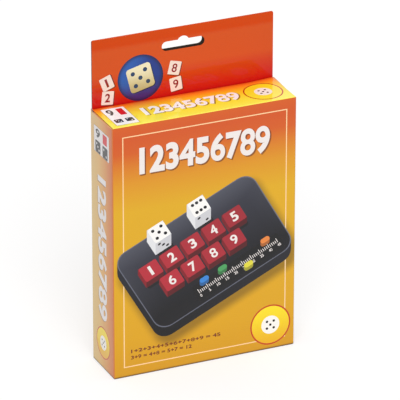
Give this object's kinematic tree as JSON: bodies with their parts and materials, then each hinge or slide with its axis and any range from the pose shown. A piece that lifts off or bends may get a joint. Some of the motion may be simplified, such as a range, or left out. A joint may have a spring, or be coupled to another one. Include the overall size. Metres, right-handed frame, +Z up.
{
  "type": "boxed travel shut the box game",
  "caption": "Travel shut-the-box game in a hang-tab folding carton: hinged lid, arched plastic case with flip tiles, score sliders and dice in clear balls on a roller",
  "frame": {"origin": "middle of the carton's footprint, on the surface that it stands on", "axes": "+Z up towards the hang tab, -Y towards the front panel, +X to the right as seen from the front"},
  "size_m": [0.138, 0.038, 0.24],
  "materials": {
    "printed_gold_board": "offset print under gloss varnish",
    "printed_orange_board": "offset print under gloss varnish",
    "printed_yellow_board": "offset print under gloss varnish",
    "plain_board_inside": "uncoated grey back",
    "grey_insert_board": "uncoated grey board",
    "white_paper": "uncoated",
    "charcoal_grained_plastic": "fine spark-eroded grain",
    "black_plastic": "satin",
    "crimson_plastic": "gloss",
    "zinc_steel": "bright zinc",
    "clear_plastic": "clear, polished",
    "dice_white": "gloss with black pips",
    "blue_plastic": "gloss",
    "green_plastic": "gloss",
    "yellow_plastic": "gloss",
    "orange_plastic": "gloss"
  },
  "bodies": {
    "carton": {"carton_sleeve": "printed_gold_board", "hang_tab": "printed_orange_board", "bottom_outer_flap": "printed_gold_board", "bottom_inner_flap": "plain_board_inside", "bottom_dust_flap_left": "plain_board_inside", "bottom_dust_flap_right": "plain_board_inside", "card_insert": "grey_insert_board", "rules_leaflet": "white_paper"},
    "lid": {"lid": "printed_yellow_board"},
    "dust_flap_left": {"dust_flap_left": "plain_board_inside"},
    "dust_flap_right": {"dust_flap_right": "plain_board_inside"},
    "game": {"case_top": "charcoal_grained_plastic", "case_base": "charcoal_grained_plastic", "case_screws": "zinc_steel", "number_plate": "black_plastic", "score_plate": "black_plastic", "tile_axle": "zinc_steel", "bearing_cap_low": "black_plastic", "bearing_cap_high": "black_plastic"},
    "spindle": {"grip_roller": "black_plastic", "end_stub_low": "black_plastic", "end_stub_high": "black_plastic", "ball_low_front": "clear_plastic", "ball_low_back": "clear_plastic", "ball_high_front": "clear_plastic", "ball_high_back": "clear_plastic"},
    "die_low": {"die_low": "dice_white"},
    "die_high": {"die_high": "dice_white"},
    "tile_1": {"tile_1": "crimson_plastic"},
    "tile_2": {"tile_2": "crimson_plastic"},
    "tile_3": {"tile_3": "crimson_plastic"},
    "tile_4": {"tile_4": "crimson_plastic"},
    "tile_5": {"tile_5": "crimson_plastic"},
    "tile_6": {"tile_6": "crimson_plastic"},
    "tile_7": {"tile_7": "crimson_plastic"},
    "tile_8": {"tile_8": "crimson_plastic"},
    "tile_9": {"tile_9": "crimson_plastic"},
    "slider_blue": {"slider_blue": "blue_plastic"},
    "slider_green": {"slider_green": "green_plastic"},
    "slider_yellow": {"slider_yellow": "yellow_plastic"},
    "slider_orange": {"slider_orange": "orange_plastic"}
  },
  "joints": [
    {"name": "game_slide", "type": "slide", "parent": "carton", "child": "game", "axis": [0, 0, 1], "range_m": [0, 0.192]},
    {"name": "lid_hinge", "type": "hinge", "parent": "carton", "child": "lid", "pos_m": [0, -0.019, 0.19], "axis": [1, 0, 0], "range_deg": [0, 250]},
    {"name": "dust_flap_left_hinge", "type": "hinge", "parent": "carton", "child": "dust_flap_left", "pos_m": [-0.069, 0, 0.1893], "axis": [0, -1, 0], "range_deg": [0, 125]},
    {"name": "dust_flap_right_hinge", "type": "hinge", "parent": "carton", "child": "dust_flap_right", "pos_m": [0.069, 0, 0.1893], "axis": [0, 1, 0], "range_deg": [0, 125]},
    {"name": "tile_1_hinge", "type": "hinge", "parent": "game", "child": "tile_1", "pos_m": [-0.012, -0.0024, 0.0224], "axis": [0, 0, -1], "range_deg": [0, 95]},
    {"name": "tile_2_hinge", "type": "hinge", "parent": "game", "child": "tile_2", "pos_m": [-0.012, -0.0024, 0.0357], "axis": [0, 0, -1], "range_deg": [0, 95]},
    {"name": "tile_3_hinge", "type": "hinge", "parent": "game", "child": "tile_3", "pos_m": [-0.012, -0.0024, 0.049], "axis": [0, 0, -1], "range_deg": [0, 95]},
    {"name": "tile_4_hinge", "type": "hinge", "parent": "game", "child": "tile_4", "pos_m": [-0.012, -0.0024, 0.0623], "axis": [0, 0, -1], "range_deg": [0, 95]},
    {"name": "tile_5_hinge", "type": "hinge", "parent": "game", "child": "tile_5", "pos_m": [-0.012, -0.0024, 0.0756], "axis": [0, 0, -1], "range_deg": [0, 95]},
    {"name": "tile_6_hinge", "type": "hinge", "parent": "game", "child": "tile_6", "pos_m": [-0.012, -0.0024, 0.0889], "axis": [0, 0, -1], "range_deg": [0, 95]},
    {"name": "tile_7_hinge", "type": "hinge", "parent": "game", "child": "tile_7", "pos_m": [-0.012, -0.0024, 0.1022], "axis": [0, 0, -1], "range_deg": [0, 95]},
    {"name": "tile_8_hinge", "type": "hinge", "parent": "game", "child": "tile_8", "pos_m": [-0.012, -0.0024, 0.1155], "axis": [0, 0, -1], "range_deg": [0, 95]},
    {"name": "tile_9_hinge", "type": "hinge", "parent": "game", "child": "tile_9", "pos_m": [-0.012, -0.0024, 0.1288], "axis": [0, 0, -1], "range_deg": [0, 95]},
    {"name": "slider_blue_slide", "type": "slide", "parent": "game", "child": "slider_blue", "axis": [0, 0, 1], "range_m": [0, 0.103]},
    {"name": "slider_green_slide", "type": "slide", "parent": "game", "child": "slider_green", "axis": [0, 0, 1], "range_m": [0, 0.103]},
    {"name": "slider_yellow_slide", "type": "slide", "parent": "game", "child": "slider_yellow", "axis": [0, 0, 1], "range_m": [0, 0.103]},
    {"name": "slider_orange_slide", "type": "slide", "parent": "game", "child": "slider_orange", "axis": [0, 0, 1], "range_m": [0, 0.103]},
    {"name": "spindle_spin", "type": "hinge", "parent": "game", "child": "spindle", "pos_m": [-0.033, 0.001, 0.0756], "axis": [0, 0, 1], "continuous": true},
    {"name": "die_low_tumble", "type": "hinge", "parent": "spindle", "child": "die_low", "pos_m": [-0.033, 0.001, 0.0511], "axis": [0, 0, 1], "continuous": true},
    {"name": "die_high_tumble", "type": "hinge", "parent": "spindle", "child": "die_high", "pos_m": [-0.033, 0.001, 0.1001], "axis": [0, 0, 1], "continuous": true}
  ],
  "couplings": [
    {"joint": "lid_hinge", "follows": "game_slide", "rad_per_m": 22.723},
    {"joint": "dust_flap_left_hinge", "follows": "game_slide", "rad_per_m": 11.362},
    {"joint": "dust_flap_right_hinge", "follows": "game_slide", "rad_per_m": 11.362}
  ]
}
